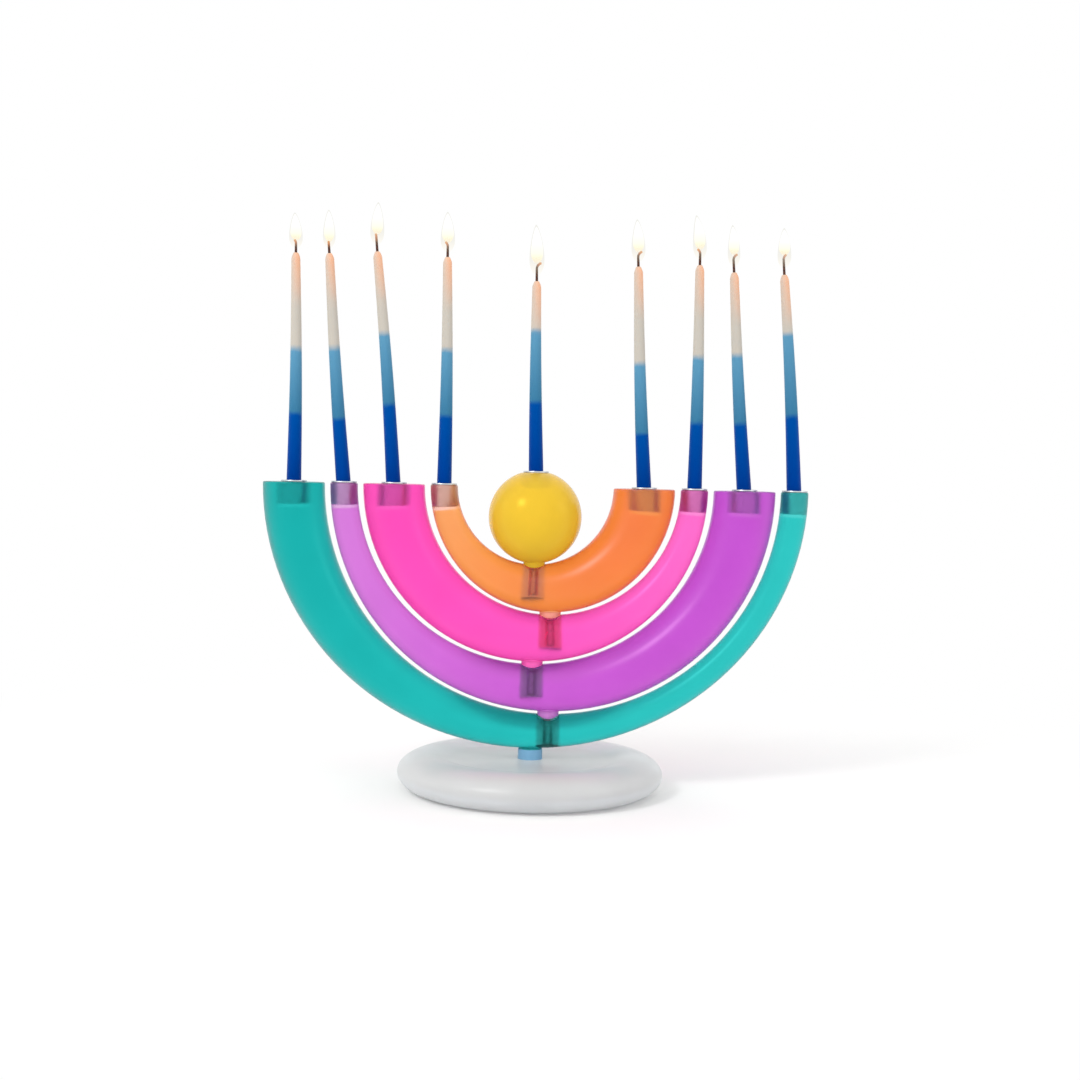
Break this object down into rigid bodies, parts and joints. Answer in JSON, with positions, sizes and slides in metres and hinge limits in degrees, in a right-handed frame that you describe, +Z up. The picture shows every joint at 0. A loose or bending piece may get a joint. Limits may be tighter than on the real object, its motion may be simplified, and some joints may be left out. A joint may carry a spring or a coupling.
{
  "type": "menorah",
  "caption": "Modular menorah: half-ring resin arches nested on dowels over a pebble base, with a ball in the middle and tapered candles in metal cups.",
  "frame": {"origin": "middle of the base's flat underside, on the table", "axes": "+Z up, +X to the right along the row of candles, +Y to the back; the arches lie in the XZ plane"},
  "size_m": [0.3068, 0.15, 0.3098],
  "materials": {
    "clear_resin": "frosted clear cast resin",
    "blue_bush": "tinted clear resin",
    "teal_resin": "frosted translucent cast resin",
    "purple_resin": "frosted translucent cast resin",
    "pink_resin": "frosted translucent cast resin",
    "orange_resin": "frosted translucent cast resin",
    "yellow_resin": "frosted translucent cast resin",
    "teal_bush": "tinted clear resin",
    "purple_bush": "tinted clear resin",
    "pink_bush": "tinted clear resin",
    "orange_bush": "tinted clear resin",
    "steel": "ground steel dowel",
    "cup_metal": "satin aluminium",
    "candle_wax": "dyed paraffin wax, deep blue to white",
    "wick": "braided cotton, charred at the top"
  },
  "bodies": {
    "base": {"base": "clear_resin", "base_bush": "blue_bush"},
    "teal_dowel": {"teal_pin": "steel"},
    "teal": {"teal_arch": "teal_resin", "teal_bush": "teal_bush", "teal_cup_left": "cup_metal", "teal_cup_right": "cup_metal"},
    "purple_dowel": {"purple_pin": "steel"},
    "purple": {"purple_arch": "purple_resin", "purple_bush": "purple_bush", "purple_cup_left": "cup_metal", "purple_cup_right": "cup_metal"},
    "pink_dowel": {"pink_pin": "steel"},
    "pink": {"pink_arch": "pink_resin", "pink_bush": "pink_bush", "pink_cup_left": "cup_metal", "pink_cup_right": "cup_metal"},
    "orange_dowel": {"orange_pin": "steel"},
    "orange": {"orange_arch": "orange_resin", "orange_bush": "orange_bush", "orange_cup_left": "cup_metal", "orange_cup_right": "cup_metal"},
    "ball_dowel": {"ball_pin": "steel"},
    "ball": {"ball": "yellow_resin", "ball_cup": "cup_metal"},
    "candle_1": {"candle_1_wax": "candle_wax", "candle_1_wick": "wick"},
    "candle_2": {"candle_2_wax": "candle_wax", "candle_2_wick": "wick"},
    "candle_3": {"candle_3_wax": "candle_wax", "candle_3_wick": "wick"},
    "candle_4": {"candle_4_wax": "candle_wax", "candle_4_wick": "wick"},
    "candle_5": {"candle_5_wax": "candle_wax", "candle_5_wick": "wick"},
    "candle_6": {"candle_6_wax": "candle_wax", "candle_6_wick": "wick"},
    "candle_7": {"candle_7_wax": "candle_wax", "candle_7_wick": "wick"},
    "candle_8": {"candle_8_wax": "candle_wax", "candle_8_wick": "wick"},
    "candle_9": {"candle_9_wax": "candle_wax", "candle_9_wick": "wick"}
  },
  "joints": [
    {"name": "teal_turn", "type": "hinge", "parent": "base", "child": "teal_dowel", "pos_m": [0, 0, 0.0234], "axis": [0, 0, 1], "continuous": true},
    {"name": "teal_lift", "type": "slide", "parent": "teal_dowel", "child": "teal", "axis": [0, 0, 1], "range_m": [0, 0.0032]},
    {"name": "purple_turn", "type": "hinge", "parent": "teal", "child": "purple_dowel", "pos_m": [0.0096, 0, 0.0432], "axis": [0, 0, 1], "range_deg": [-170, 170]},
    {"name": "purple_lift", "type": "slide", "parent": "purple_dowel", "child": "purple", "axis": [0, 0, 1], "range_m": [0, 0.0032]},
    {"name": "pink_turn", "type": "hinge", "parent": "purple", "child": "pink_dowel", "pos_m": [0, 0, 0.0714], "axis": [0, 0, 1], "continuous": true},
    {"name": "pink_lift", "type": "slide", "parent": "pink_dowel", "child": "pink", "axis": [0, 0, 1], "range_m": [0, 0.0032]},
    {"name": "orange_turn", "type": "hinge", "parent": "pink", "child": "orange_dowel", "pos_m": [0.0096, 0, 0.0996], "axis": [0, 0, 1], "continuous": true},
    {"name": "orange_lift", "type": "slide", "parent": "orange_dowel", "child": "orange", "axis": [0, 0, 1], "range_m": [0, 0.0032]},
    {"name": "ball_turn", "type": "hinge", "parent": "orange", "child": "ball_dowel", "pos_m": [0, 0, 0.1278], "axis": [0, 0, 1], "continuous": true},
    {"name": "ball_lift", "type": "slide", "parent": "ball_dowel", "child": "ball", "axis": [0, 0, 1], "range_m": [0, 0.0032]},
    {"name": "candle_1_pull", "type": "slide", "parent": "teal", "child": "candle_1", "axis": [-0.007, 0.0105, 0.9999], "range_m": [0, 0.02]},
    {"name": "candle_2_pull", "type": "slide", "parent": "purple", "child": "candle_2", "axis": [-0.075, -0.0139, 0.9971], "range_m": [0, 0.02]},
    {"name": "candle_3_pull", "type": "slide", "parent": "pink", "child": "candle_3", "axis": [-0.0872, 0.0087, 0.9962], "range_m": [0, 0.02]},
    {"name": "candle_4_pull", "type": "slide", "parent": "orange", "child": "candle_4", "axis": [-0.0035, -0.0087, 1], "range_m": [0, 0.02]},
    {"name": "candle_5_pull", "type": "slide", "parent": "ball", "child": "candle_5", "axis": [-0.0175, 0.007, 0.9998], "range_m": [0, 0.02]},
    {"name": "candle_6_pull", "type": "slide", "parent": "orange", "child": "candle_6", "axis": [-0.0488, 0.0157, 0.9987], "range_m": [0, 0.02]},
    {"name": "candle_7_pull", "type": "slide", "parent": "pink", "child": "candle_7", "axis": [-0.0035, -0.0105, 0.9999], "range_m": [0, 0.02]},
    {"name": "candle_8_pull", "type": "slide", "parent": "purple", "child": "candle_8", "axis": [-0.0715, 0.0122, 0.9974], "range_m": [0, 0.02]},
    {"name": "candle_9_pull", "type": "slide", "parent": "teal", "child": "candle_9", "axis": [-0.0767, -0.0157, 0.9969], "range_m": [0, 0.02]}
  ]
}
